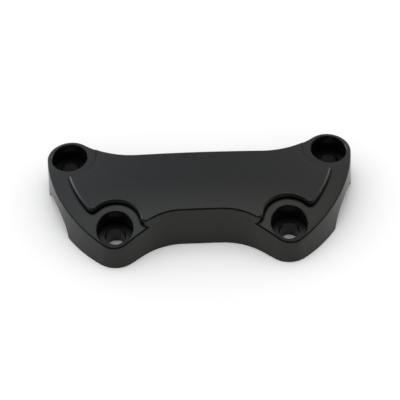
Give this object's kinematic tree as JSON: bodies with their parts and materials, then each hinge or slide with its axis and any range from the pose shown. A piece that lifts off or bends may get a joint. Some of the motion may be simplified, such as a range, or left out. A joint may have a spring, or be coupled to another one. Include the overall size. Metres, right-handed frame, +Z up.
{
  "type": "handlebar clamp",
  "caption": "Satin-black handlebar clamp top: a crowned cast block with counterbored bolt holes, a raised centre panel and a half-round channel that grips the bar.",
  "frame": {"origin": "on the flat underside, midway between the bolt rows and on the plane of symmetry", "axes": "+X along the handlebar, +Y from the near bolt row to the wider far row, +Z up"},
  "size_m": [0.1294, 0.0574, 0.0196],
  "materials": {
    "black_paint": "satin black paint on cast aluminium"
  },
  "bodies": {
    "root": {"handlebar_clamp": "black_paint"}
  },
  "joints": []
}
